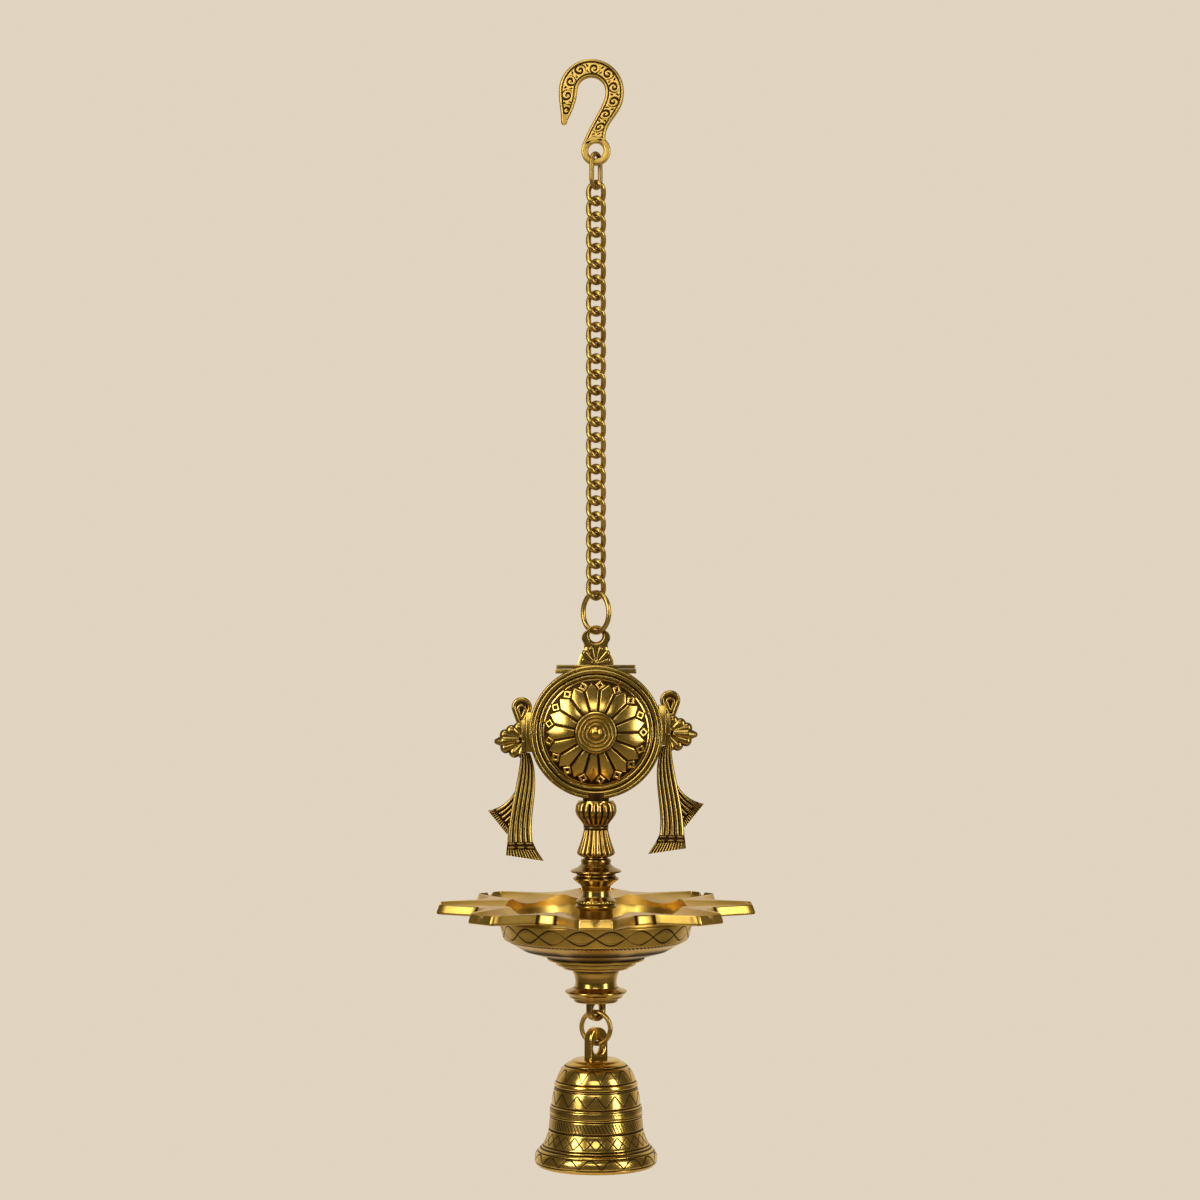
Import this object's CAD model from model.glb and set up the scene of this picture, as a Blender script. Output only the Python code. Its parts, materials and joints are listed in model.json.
# %% [markdown]
# # A hanging oil lamp in cast brass
# The lamp was built first as solids: a hook, a twisted chain, a lotus discus, a fluted stem, a pan with
# spouts, a foot and a bell. This lesson loads those solids as a fixed frame and gives them their finish.
# Everything is in metres in the frame's own axes, so a new surface goes exactly where its solid is.

# %% Load the solids
import functools
import json
import math

import bmesh
import bpy
import numpy as np
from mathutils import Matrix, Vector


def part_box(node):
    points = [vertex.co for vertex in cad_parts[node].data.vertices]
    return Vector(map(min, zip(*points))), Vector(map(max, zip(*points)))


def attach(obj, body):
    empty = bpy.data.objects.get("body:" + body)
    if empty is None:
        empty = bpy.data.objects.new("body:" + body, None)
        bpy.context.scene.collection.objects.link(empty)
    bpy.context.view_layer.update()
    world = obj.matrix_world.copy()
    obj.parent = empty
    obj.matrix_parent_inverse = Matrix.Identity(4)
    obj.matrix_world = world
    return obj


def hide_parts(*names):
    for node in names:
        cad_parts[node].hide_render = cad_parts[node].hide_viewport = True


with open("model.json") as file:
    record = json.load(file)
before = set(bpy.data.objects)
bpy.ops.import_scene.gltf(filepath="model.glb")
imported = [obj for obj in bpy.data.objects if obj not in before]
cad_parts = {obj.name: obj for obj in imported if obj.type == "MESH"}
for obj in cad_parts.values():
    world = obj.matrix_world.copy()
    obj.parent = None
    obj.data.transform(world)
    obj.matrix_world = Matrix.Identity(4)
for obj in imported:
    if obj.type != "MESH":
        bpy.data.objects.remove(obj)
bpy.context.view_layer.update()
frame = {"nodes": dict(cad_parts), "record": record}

# %% [markdown]
# ## The sizes that the pieces share
# Each surface repeats the driving sizes of its solid, in millimetres. Heights are counted down from the
# hook's throat, each from the piece that carries it, so a link or a pan can't drift away from its
# neighbour.

# %% Heights along the hanging line, in millimetres
LINE_X = 2.4
PLAY = 0.25
HOOK_T, THROAT_R, HOOK_R, EYE_Z, EYE_R, EYE_HOLE_R = 5.0, 7.3, 16.9, -30.7, 7.6, 3.9
OVAL_WIRE, OVAL_IN, OVAL_LEN, OVAL_TURN = 2.5, 6.9, 17.7, 62.0
LINKS, PITCH, LINK_WIRE, LINK_W, LINK_TWIST = 26, 8.2, 2.8, 10.6, 48.0
RING_WIRE, RING_D, RING_TURN = 2.7, 20.7, -50.0
oval_hi, oval_lo = (q * 1000 for q in (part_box("hook_link")[1].z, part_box("hook_link")[0].z))
link_top = oval_lo + OVAL_WIRE + LINK_WIRE / 2 + PLAY
link_hc = PITCH + PLAY + LINK_WIRE
last_bot = link_top - (LINKS - 1) * PITCH - link_hc
ring_top = last_bot + LINK_WIRE / 2 + RING_WIRE / 2 + PLAY
ring_bot = ring_top - RING_D
LUG_HOLE_R, LUG_T, LUG_W, CROWN_H, LINTEL_W, LINTEL_H = 3.3, 3.0, 15.0, 9.2, 42.0, 4.4
lug_z = ring_bot + RING_WIRE / 2 + PLAY - LUG_HOLE_R
crown_top = lug_z - 6
lintel_top = crown_top - CROWN_H
lintel_bot = lintel_top - LINTEL_H
DISC_R, RIM_T, RIM_W, DOME_H, HUB_R, PETALS = 34.8, 11.2, 7.2, 10.4, 10.8, 17
disc_z = lintel_bot - DISC_R + LINTEL_H
rim_in = DISC_R - RIM_W
strip_x, SIDE_RISE = DISC_R + 1.6, 3.6
stem_top = disc_z - DISC_R - 0.9
FLUTE_H, TURNED_H, PAN_H, BOWL_DEPTH, WASHER_T, FOOT_H = 29.1, 24.2, 33.8, 24.5, 1.2, 16.2
base_top = stem_top - FLUTE_H
pan_top = base_top - TURNED_H
floor_z = pan_top - BOWL_DEPTH
pan_bot = pan_top - PAN_H
foot_top = pan_bot - WASHER_T
foot_bot = foot_top - FOOT_H
FOOT_HOLE_R, BELL_WIRE, BELL_RING_D, BELL_TURN, LUG_TURN, BELL_HOLE_R = 2.9, 2.5, 16.4, -25.0, 45.0, 3.3
foot_eye_z = foot_bot - FOOT_HOLE_R - 1.1
bell_ring_top = foot_eye_z - FOOT_HOLE_R + PLAY + BELL_WIRE / 2
bell_ring_bot = bell_ring_top - BELL_RING_D
bell_eye_z = bell_ring_bot + BELL_WIRE / 2 + PLAY - BELL_HOLE_R
bell_top = bell_eye_z - BELL_HOLE_R - 2.5
BELL_H = 55.0
bell_mouth = bell_top - BELL_H
print("discus at %.1f, pan at %.1f, bell mouth at %.1f mm" % (disc_z, pan_top, bell_mouth))

# %% [markdown]
# ## From a grid of points to a mesh
# Cast and turned metal is made of smooth surfaces, so each one is a function of two parameters: a grid of
# points. The grid becomes quads, doubled points at seams and poles are merged, and the normals are turned
# outwards. Antique brass is dark where polish can't reach. So each point also gets a "recess" value: how
# far it lies below the mean of its neighbours along the surface normal. The finishes read that value as an
# attribute, and a second one, "cut", that is 1 where a piece may be engraved and 0 inside a bowl or a
# bell.

# %% Grids and their recess
def padded(grid, before, after, wrap, axis):
    """A grid with more rows before and after it along one axis, from its far side or from its edge."""
    pad = [(0, 0)] * grid.ndim
    pad[axis] = (before, after)
    return np.pad(grid, pad, mode="wrap" if wrap else "edge")


def blurred(grid, reach, wrap, axis):
    """Mean of a grid over 2 * reach + 1 neighbours along one axis, from running sums."""
    sums = np.cumsum(padded(grid, reach + 1, reach, wrap, axis), axis=axis)
    count, span = grid.shape[axis], 2 * reach + 1
    return (np.take(sums, np.arange(span, span + count), axis) - np.take(sums, np.arange(count), axis)) / span


def recess_of(grid, wrap, reach):
    """Depth of each point below the mean of its neighbours, along the outward normal, in millimetres."""
    du = np.gradient(padded(grid, 1, 1, wrap[0], 0), axis=0)[1:-1]
    dv = np.gradient(padded(grid, 1, 1, wrap[1], 1), axis=1)[:, 1:-1]
    normal = np.cross(du, dv)
    normal /= np.linalg.norm(normal, axis=2, keepdims=True) + 1e-9
    if (normal * (grid - grid.mean((0, 1)))).sum() < 0:
        normal = -normal
    soft = blurred(blurred(grid, reach, wrap[0], 0), reach, wrap[1], 1)
    return ((soft - grid) * normal).sum(2)


def surface(grid, wrap=(False, True), reach=3, recess=None, cut=1.0):
    """Grid of points with its wrap by rows and columns, its recess, measured unless given, and its cut."""
    grid = np.asarray(grid, float)
    reach = max(1, min(reach, min(grid.shape[:2]) // 2 - 1))
    recess = recess_of(grid, wrap, reach) if recess is None else recess + 0 * grid[..., 0]
    return {"grid": grid, "wrap": wrap, "recess": recess, "cut": cut + 0 * grid[..., 0]}


print("a spike blurred over three points:", blurred(np.eye(5)[2], 1, False, 0).round(2))

# %% From surfaces to a piece
def cell_corners(rows, cols, wrap, start):
    """The four point numbers of every cell of a grid, as one array."""
    i, j = np.meshgrid(np.arange(rows - (not wrap[0])), np.arange(cols - (not wrap[1])), indexing="ij")
    k, l = (i + 1) % rows, (j + 1) % cols
    return start + np.stack([i * cols + j, i * cols + l, k * cols + l, k * cols + j], -1).reshape(-1, 4)


def piece(name, nodes, surfaces, finish, sharp=38):
    """Joins surfaces into one mesh in metres that stands for CAD nodes and rides on their body."""
    points = np.concatenate([s["grid"].reshape(-1, 3) for s in surfaces]) / 1000
    starts = np.cumsum([0] + [s["grid"].shape[0] * s["grid"].shape[1] for s in surfaces])
    faces = np.concatenate([
        cell_corners(*s["grid"].shape[:2], s["wrap"], start) for s, start in zip(surfaces, starts)])
    mesh = bpy.data.meshes.new(name)
    mesh.from_pydata(points.tolist(), [], faces.tolist())
    for label in ("recess", "cut"):
        values = np.concatenate([s[label].reshape(-1) for s in surfaces])
        mesh.attributes.new(label, "FLOAT", "POINT").data.foreach_set("value", values.astype(np.float32))
    work = bmesh.new()
    work.from_mesh(mesh)
    bmesh.ops.remove_doubles(work, verts=work.verts, dist=2e-6)
    bmesh.ops.dissolve_degenerate(work, edges=work.edges, dist=1e-7)
    bmesh.ops.recalc_face_normals(work, faces=work.faces)
    work.to_mesh(mesh)
    work.free()
    mesh.polygons.foreach_set("use_smooth", np.ones(len(mesh.polygons), bool))
    mesh.set_sharp_from_angle(angle=math.radians(sharp))
    mesh.materials.append(finish)
    obj = bpy.data.objects.new(name, mesh)
    bpy.context.scene.collection.objects.link(obj)
    body = next(b for b, members in frame["record"]["behaviour"]["bodies"].items() if nodes[0] in members)
    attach(obj, body)
    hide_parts(*nodes)
    return obj


print("faces of a wrapped grid of 3 by 4 points:", len(cell_corners(3, 4, (False, True), 0)))

# %% [markdown]
# ## Profiles, lathes, tubes, plates and blades
# Five ways of making a surface cover the whole lamp. A lathe turns a profile, a tube carries a circle
# along a line, a plate is a flat eye with its hole, a blade lies between two edge lines, and a lobe is a
# rounded cone. A profile is a list of corners, each given by its radius and its distance below a height.
# Real metal has no knife edges, so every profile corner is replaced by a small arc first.

# %% Points and lines
LOOP = (True, True)


def full_turn(count):
    """Angles at equal steps round a circle."""
    return np.linspace(0, 2 * np.pi, count, endpoint=False)


def circle(t):
    """Cosine and sine of each angle, as points on the unit circle."""
    return np.stack([np.cos(t), np.sin(t)], -1)


def spaced(line, step):
    """The points of a line, with more put in on each long stretch, about one step apart."""
    line = np.asarray(line, float)
    run = np.concatenate([[0], np.cumsum(np.linalg.norm(np.diff(line, axis=0), axis=1))])
    every = np.unique(np.concatenate([run, np.linspace(0, run[-1], int(run[-1] / step) + 2)]).round(5))
    return np.stack([np.interp(every, run, line[:, k]) for k in range(line.shape[1])], 1)


def rounded(line, radius, closed=False, count=5):
    """Each corner becomes a quadratic curve that starts and ends a radius away, or half an edge at most."""
    line = np.asarray(line, float)
    before, after = np.roll(line, 1, 0) - line, np.roll(line, -1, 0) - line
    lb, la = np.linalg.norm(before, axis=1, keepdims=True), np.linalg.norm(after, axis=1, keepdims=True)
    a = line + before / (lb + 1e-12) * np.minimum(radius, lb * 0.49)
    b = line + after / (la + 1e-12) * np.minimum(radius, la * 0.49)
    t = np.linspace(0, 1, count)[None, :, None]
    arcs = (1 - t) ** 2 * a[:, None] + 2 * t * (1 - t) * line[:, None] + t ** 2 * b[:, None]
    if closed:
        return arcs.reshape(-1, line.shape[1])
    return np.concatenate([line[:1], arcs[1:-1].reshape(-1, line.shape[1]), line[-1:]])


def bezier(a, b, c, d, count):
    """Cubic curve from a to d with the pulls b and c."""
    t = np.linspace(0, 1, count)[:, None]
    a, b, c, d = (np.asarray(q, float) for q in (a, b, c, d))
    return (1 - t) ** 3 * a + 3 * (1 - t) ** 2 * t * b + 3 * (1 - t) * t ** 2 * c + t ** 3 * d


def below(height, *corners):
    """Corners of a profile, each given by its radius and its distance below a height."""
    return [[radius, height - down] for radius, down in corners]


print("points of a rounded square:", len(rounded([[0, 0], [1, 0], [1, 1], [0, 1]], 0.2, closed=True)))

# %% Lathe, tube and ring
def about_line(r, t, z):
    """Points at a radius, an angle and a height about the hanging line."""
    return np.stack([LINE_X + r * np.cos(t), r * np.sin(t), z + 0 * t], 2)


def turned(profile, count=192):
    """Lathe about the hanging line: radius and height of the profile, times a full turn."""
    return about_line(profile[:, :1], full_turn(count), profile[:, 1:])


def tube(line, width, sides=14):
    """Circle of a wire's width carried along a closed line about its own middle."""
    line = np.asarray(line, float)
    run = np.roll(line, -1, 0) - np.roll(line, 1, 0)
    run /= np.linalg.norm(run, axis=1, keepdims=True)
    out = (line - line.mean(0)) * [1, 1, 0.55]
    out -= (out * run).sum(1, keepdims=True) * run
    out /= np.linalg.norm(out, axis=1, keepdims=True)
    side = np.cross(run, out)
    t = full_turn(sides)[None, :, None]
    return line[:, None] + width / 2 * (np.cos(t) * out[:, None] + np.sin(t) * side[:, None])


def hung(flat, turn, z):
    """A flat line, x across and z up, stood upright at a height and turned about the hanging line."""
    a = math.radians(turn)
    return np.stack([LINE_X + flat[:, 0] * math.cos(a), flat[:, 0] * math.sin(a), z + flat[:, 1]], 1)


def ring(width, wire, turn, z):
    """Round wire ring in an upright plane, turned about the hanging line."""
    return tube(hung(width / 2 * circle(full_turn(112)), turn, z), wire, 18)


print("grid of a wire ring:", ring(RING_D, RING_WIRE, RING_TURN, 0).shape)

# %% Plate, blade and lobe
def eye_plate(z, hole, flare, thick, reach, turn, round_off):
    """Plate round a hole: its section runs from the hole's flared side to the outline reach(angle)."""
    t, h = full_turn(160), thick / 2

    def section(edge):
        """Rounded section of the plate where its outline is one distance away."""
        corners = [[hole + flare, -h], [edge, -h], [edge, h], [hole + flare, h],
                   [hole, h * 0.2], [hole, -h * 0.2]]
        return rounded(corners, round_off, closed=True, count=6)

    near, far = section(hole + 4), section(hole + 5)
    loop = near[:, None] + (far - near)[:, None] * (reach(t) - hole - 4)[None, :, None]
    x, y = loop[..., 0] * np.cos(t), loop[..., 1]
    a = math.radians(turn)
    return np.stack([LINE_X + x * math.cos(a) - y * math.sin(a), x * math.sin(a) + y * math.cos(a),
                     z + loop[..., 0] * np.sin(t)], 2)


def blade(left, right, share, depth, y):
    """Body between two edge lines: its section gives the share of the width and the depth, front and back."""
    across = left[:, None] * (1 - share)[..., None] + right[:, None] * share[..., None]
    grid = np.stack([across[..., 0], y + depth, across[..., 1]], 2)
    first, last = (np.broadcast_to(end.mean(1, keepdims=True), end.shape) for end in (grid[:1], grid[-1:]))
    return np.concatenate([first, grid, last])


def lobe(a, b, ra, rb, y, flat, count=28):
    """Two balls of different size and the cone that wraps them, flattened or swollen from front to back."""
    a, b = np.asarray(a, float), np.asarray(b, float)
    d = np.linalg.norm(b - a)
    lean = math.asin(max(-0.95, min(0.95, (ra - rb) / d)))
    t1, t2 = np.linspace(np.pi, np.pi / 2 - lean, 12), np.linspace(np.pi / 2 - lean, 0, 12)
    run = np.concatenate([ra * np.cos(t1), d + rb * np.cos(t2)])
    out = np.concatenate([ra * np.sin(t1), rb * np.sin(t2)])
    t = full_turn(count)
    way = (b - a) / d
    side = np.array([-way[1], way[0]])
    flatly = a + run[:, None, None] * way + (out[:, None] * np.cos(t))[..., None] * side
    return np.stack([flatly[..., 0], y + out[:, None] * np.sin(t) * flat, flatly[..., 1]], 2)


# Recess round a lobe: dark along its two sides, where it meets its neighbours
lobe_sides = 0.3 * np.abs(np.cos(full_turn(28))) ** 5
print("grid of a lobe:", lobe([0, 0], [0, 2], 0.6, 1.4, 0, 0.75).shape)

# %% [markdown]
# ## Antique brass
# Cast brass that is polished now and then is bright on every ridge and brown in every groove. One shader
# node group works this out for all finishes: it reads the recess attribute, breaks its edge up with noise,
# and mixes the bright metal with the dark patina. It also puts out a roughness, since patina is dull, and
# a fine height for the cast skin.

# %% Node helpers
def add(tree, kind, values=None, **settings):
    """A node with its settings. Its inputs, by place or name, are set to numbers or linked to sockets."""
    node = tree.nodes.new(kind)
    for key, value in settings.items():
        setattr(node, key, value)
    for key, value in (values or {}).items():
        if isinstance(value, bpy.types.NodeSocket):
            tree.links.new(value, node.inputs[key])
        else:
            node.inputs[key].default_value = value
    return node


def maths(tree, operation, a, b=0.0, c=0.0):
    """One sum with up to three terms."""
    return add(tree, "ShaderNodeMath", {0: a, 1: b, 2: c}, operation=operation).outputs[0]


def stepped(tree, value, low, high, start=0.0, end=1.0):
    """Smooth step of a value between two limits."""
    return add(tree, "ShaderNodeMapRange", {0: value, 1: low, 2: high, 3: start, 4: end},
               interpolation_type="SMOOTHSTEP").outputs[0]


def noise(tree, scale, detail):
    """Noise in Object coordinates, so that it keeps its size and stays on its piece."""
    place = object_place(tree)
    return add(tree, "ShaderNodeTexNoise", {"Vector": place, "Scale": scale, "Detail": detail}).outputs[0]


def object_place(tree):
    """The Object coordinates of the shaded point."""
    return add(tree, "ShaderNodeTexCoord").outputs["Object"]


def object_axes(tree):
    """The Object coordinates of the shaded point, one axis at a time."""
    return add(tree, "ShaderNodeSeparateXYZ", {0: object_place(tree)}).outputs


def mixed(tree, share, first, second):
    """Mix of two colours, by a share of the second."""
    return add(tree, "ShaderNodeMix", {"Factor": share, 6: first, 7: second}, data_type="RGBA").outputs[2]


def new_material(name):
    """An empty material with nodes, and its tree."""
    material = bpy.data.materials.new(name)
    material.use_nodes = True
    return material, material.node_tree


def new_group(name, takes, gives):
    """An empty node group with named sockets."""
    group = bpy.data.node_groups.new(name, "ShaderNodeTree")
    for label, kind, value in takes:
        group.interface.new_socket(label, in_out="INPUT", socket_type=kind).default_value = value
    for label, kind in gives:
        group.interface.new_socket(label, in_out="OUTPUT", socket_type=kind)
    return group, add(group, "NodeGroupInput").outputs, add(group, "NodeGroupOutput").inputs


FLOAT, COLOUR = "NodeSocketFloat", "NodeSocketColor"
print("kinds of socket:", FLOAT, COLOUR)

# %% The patina group
patina, takes, gives = new_group(
    "antique_patina",
    [("Bright", COLOUR, (0.6, 0.4, 0.1, 1)), ("Warm", COLOUR, (0.5, 0.3, 0.08, 1)),
     ("Dark", COLOUR, (0.05, 0.02, 0.01, 1)), ("Gain", FLOAT, 4.0), ("Start", FLOAT, 0.1),
     ("Grime", FLOAT, 0.3), ("Polish", FLOAT, 0.2), ("Extra", FLOAT, 0.0)],
    [("Color", COLOUR), ("Roughness", FLOAT), ("Height", FLOAT)])
calc = functools.partial(maths, patina)
recess = add(patina, "ShaderNodeAttribute", attribute_name="recess").outputs["Fac"]
cloud, speck, grain = noise(patina, 55.0, 4.0), noise(patina, 420.0, 5.0), noise(patina, 1900.0, 3.0)
centred_speck = calc("SUBTRACT", speck, 0.5)
uneven = calc("MULTIPLY", centred_speck, takes["Grime"])
depth = calc("ADD", calc("ADD", calc("MULTIPLY", recess, takes["Gain"]), uneven), takes["Extra"])
hollow = stepped(patina, depth, takes["Start"], calc("ADD", takes["Start"], 0.8))
stain = calc("MULTIPLY", stepped(patina, cloud, 0.5, 0.75), calc("MULTIPLY", takes["Grime"], 0.6))
dark = calc("MINIMUM", calc("ADD", hollow, stain), 1.0)
tone = mixed(patina, stepped(patina, cloud, 0.35, 0.65), takes["Bright"], takes["Warm"])
dull = calc("MULTIPLY_ADD", dark, 0.3, takes["Polish"])
skin = calc("MULTIPLY_ADD", cloud, 1.5, calc("MULTIPLY_ADD", speck, 0.15, calc("MULTIPLY", grain, 0.03)))
patina.links.new(mixed(patina, dark, tone, takes["Dark"]), gives["Color"])
patina.links.new(calc("MULTIPLY_ADD", centred_speck, 0.08, dull), gives["Roughness"])
patina.links.new(skin, gives["Height"])
print("patina group:", len(patina.nodes), "nodes")

# %% [markdown]
# ## Engraved bands
# The pan's side and the bell carry cut lines: waves, zigzags that cross, a row of slanted cuts and small
# arches. They run round the hanging line, so one group works on the angle and the height in Object
# coordinates. A line is where two values are nearly equal, so each pattern is a difference that is narrow
# or wide.

# %% The engraving group
engraved, takes, gives = new_group(
    "engraved_band",
    [("Repeats", FLOAT, 24.0), ("Low", FLOAT, -0.5), ("High", FLOAT, -0.49), ("Width", FLOAT, 0.08)],
    [("Zigzag", FLOAT), ("Cross", FLOAT), ("Hatch", FLOAT), ("Arches", FLOAT), ("Waves", FLOAT)])
calc = functools.partial(maths, engraved)
spot = object_axes(engraved)
angle = calc("ARCTAN2", spot["Y"], calc("SUBTRACT", spot["X"], LINE_X / 1000))
along = calc("MULTIPLY", calc("DIVIDE", angle, 2 * math.pi), takes["Repeats"])
band_height = calc("SUBTRACT", takes["High"], takes["Low"])
height = calc("DIVIDE", calc("SUBTRACT", spot["Z"], takes["Low"]), band_height)
inside = calc("MULTIPLY", calc("GREATER_THAN", height, 0.0), calc("LESS_THAN", height, 1.0))


def cut(a, b):
    """Mask of a cut line where two values are nearly equal, inside the band only."""
    near = stepped(engraved, calc("ABSOLUTE", calc("SUBTRACT", a, b)), 0.0, takes["Width"], 1.0, 0.0)
    return calc("MULTIPLY", near, inside)


wave = calc("MULTIPLY", calc("PINGPONG", along, 0.5), 2.0)
rising = cut(wave, height)
slant = calc("FRACT", calc("MULTIPLY_ADD", height, 1.2, along))
arch = calc("ABSOLUTE", calc("SINE", calc("MULTIPLY", along, math.pi)))
sway = calc("MULTIPLY", calc("SINE", calc("MULTIPLY", along, 2 * math.pi)), 0.42)
centred = calc("SUBTRACT", height, 0.5)
patterns = {
    "Zigzag": rising,
    "Cross": calc("MAXIMUM", rising, cut(calc("SUBTRACT", 1.0, wave), height)),
    "Hatch": cut(slant, 0.5),
    "Arches": cut(arch, height),
    "Waves": calc("MAXIMUM", cut(centred, sway), cut(centred, calc("MULTIPLY", sway, -1.0)))}
for name, lines in patterns.items():
    engraved.links.new(lines, gives[name])
print("engraving group:", len(engraved.nodes), "nodes")

# %% [markdown]
# ## The finishes
# All metal is one alloy, so the finishes differ only in how bright, how brown and how polished they are.
# Chain and rings are handled least and stay dull, the discus is polished on its petals, and bell and pan
# shine most.

# %% Brass with patina and engraved rows
DARK = (0.040, 0.020, 0.006)


def brass(name, bright, warm, gain, start, grime, polish, bump, cuts=()):
    """Metal with the patina group and engraved rows: pattern, repeats, low, high, width and depth."""
    material, tree = new_material(name)
    shader = tree.nodes["Principled BSDF"]
    shader.inputs["Metallic"].default_value = 1.0
    values = {"Bright": (*bright, 1), "Warm": (*warm, 1), "Dark": (*DARK, 1), "Gain": gain, "Start": start,
              "Grime": grime, "Polish": polish}
    coat = add(tree, "ShaderNodeGroup", values, node_tree=patina)
    lines = None
    for pattern, repeats, low, high, width, depth in cuts:
        values = {"Repeats": repeats, "Low": low / 1000, "High": high / 1000, "Width": width}
        band = add(tree, "ShaderNodeGroup", values, node_tree=engraved)
        mask = maths(tree, "MULTIPLY", band.outputs[pattern], depth)
        lines = mask if lines is None else maths(tree, "MAXIMUM", lines, mask)
    bumped = coat.outputs["Height"]
    if lines is not None:
        allowed = add(tree, "ShaderNodeAttribute", attribute_name="cut").outputs["Fac"]
        lines = maths(tree, "MULTIPLY", lines, allowed)
        tree.links.new(lines, coat.inputs["Extra"])
        bumped = maths(tree, "MULTIPLY_ADD", lines, -9.0, bumped)
    relief = add(tree, "ShaderNodeBump", {"Strength": bump, "Distance": 0.001, "Height": bumped})
    tree.links.new(coat.outputs["Color"], shader.inputs["Base Color"])
    tree.links.new(coat.outputs["Roughness"], shader.inputs["Roughness"])
    tree.links.new(relief.outputs["Normal"], shader.inputs["Normal"])
    return material


def bands(top, rows):
    """Engraved rows whose lower and upper limits are given as distances below a height."""
    return [(pattern, repeats, top - low, top - high, width, depth)
            for pattern, repeats, low, high, width, depth in rows]


pan_cuts = bands(pan_top, [
    ("Waves", 10, 17.4, 9.0, 0.13, 1.4), ("Waves", 10, 16.0, 10.4, 0.14, 0.9),
    ("Hatch", 130, 19.4, 17.6, 0.5, 1.6)])
bell_cuts = bands(bell_top, [
    ("Zigzag", 14, 22.6, 16.4, 0.22, 1.1), ("Hatch", 80, 35.2, 30.6, 0.34, 1.2),
    ("Cross", 14, 43.4, 37.4, 0.18, 1.05), ("Arches", 17, 52.4, 47.8, 0.24, 1.1),
    ("Arches", 13, 10.6, 4.6, 0.19, 1.05), ("Hatch", 100, 26.8, 25.4, 0.42, 1.4)])
print("engraved rows:", len(pan_cuts), "on the pan and", len(bell_cuts), "on the bell")

# %% The nine finishes
# Name, bright and warm colour, gain, start, grime, polish, bump and cuts
(hook_brass, chain_brass, rim_brass, lotus_brass, leaf_brass, stem_brass, waist_brass, pan_brass,
 bell_brass) = (brass(name + "_brass", *values) for name, *values in (
        ("hook", (0.72, 0.48, 0.11), (0.64, 0.42, 0.095), 5, 0.2, 0.06, 0.36, 0.02),
        ("chain", (0.58, 0.39, 0.09), (0.46, 0.30, 0.065), 1.3, 0.2, 0.06, 0.32, 0.01),
        ("rim", (0.52, 0.36, 0.085), (0.42, 0.28, 0.06), 11, 0.12, 0.1, 0.24, 0.02),
        ("lotus", (0.76, 0.52, 0.12), (0.62, 0.41, 0.09), 7, 0.2, 0.12, 0.2, 0.03),
        ("leaf", (0.46, 0.315, 0.075), (0.36, 0.24, 0.055), 7.5, 0.15, 0.12, 0.25, 0.03),
        ("stem", (0.56, 0.37, 0.085), (0.42, 0.26, 0.055), 5, 0.15, 0.12, 0.19, 0.03),
        ("waist", (0.42, 0.28, 0.07), (0.34, 0.22, 0.05), 5, 0.15, 0.2, 0.2, 0.03),
        ("pan", (0.70, 0.46, 0.10), (0.56, 0.36, 0.075), 4, 0.25, 0.1, 0.3, 0.03, pan_cuts),
        ("bell", (0.77, 0.52, 0.12), (0.66, 0.435, 0.1), 6, 0.15, 0.12, 0.19, 0.03, bell_cuts)))
print("finishes:", sum(a.name.endswith("_brass") for a in bpy.data.materials))

# %% [markdown]
# ## The hook
# The hook is a flat casting in the shape of a question mark, with bevelled edges and a sunk panel of
# scrollwork. It is a blade between an inner and an outer edge line. The panel's border keeps a fixed
# distance from both edges, and the scrolls are spirals set along the middle line: a point is cut where its
# distance from a scroll's centre agrees with its angle. The eye below is a plate round its hole.

# %% Edge lines of the hook
PANEL_FROM, PANEL_TO, PANEL_EDGE, SCROLL_STEP = 4.0, 84.0, 1.7, 7.6
tip = np.array([-HOOK_R + 2.7, -15.5])
nose = circle(np.linspace(0, np.pi / 2, 10)[::-1])
arch = circle(np.linspace(np.pi, 0, 330))
left_edge = np.concatenate([
    tip - 1.6 * nose,
    bezier(tip + [-1.6, 0.8], [-HOOK_R + 1.3, -11], [-HOOK_R, -6], [-HOOK_R, 0], 110)[:-1],
    HOOK_R * arch,
    bezier([HOOK_R, -0.3], [HOOK_R, -12], [LINE_X + 4, -15], [LINE_X + 5, EYE_Z + 5.6], 190)])
right_edge = np.concatenate([
    tip + (nose * [1.7, -1.3] + [0, -0.3]),
    bezier(tip + [1.7, 0.3], [-THROAT_R - 3, -11], [-THROAT_R - 0.2, -5], [-THROAT_R, 0], 110)[:-1],
    THROAT_R * arch,
    bezier([THROAT_R, -0.3], [THROAT_R, -7], [0.5, -14], [LINE_X - EYE_R + 0.5, EYE_Z + 3], 190)])
width = np.maximum(np.linalg.norm(right_edge - left_edge, axis=1)[:, None], 0.01)
middle = (left_edge + right_edge) / 2
run = np.concatenate([[0], np.cumsum(np.linalg.norm(np.diff(middle, axis=0), axis=1))])[:, None]
bevel = np.minimum(0.9, width * 0.3)
inset = bevel + np.linspace(0, 1, 64)[None] * (width - 2 * bevel)
border = np.minimum(np.minimum(inset, width - inset), np.minimum(run - PANEL_FROM, PANEL_TO - run))
print("hook edge points:", len(left_edge), "widest: %.1f mm" % width.max())

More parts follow.
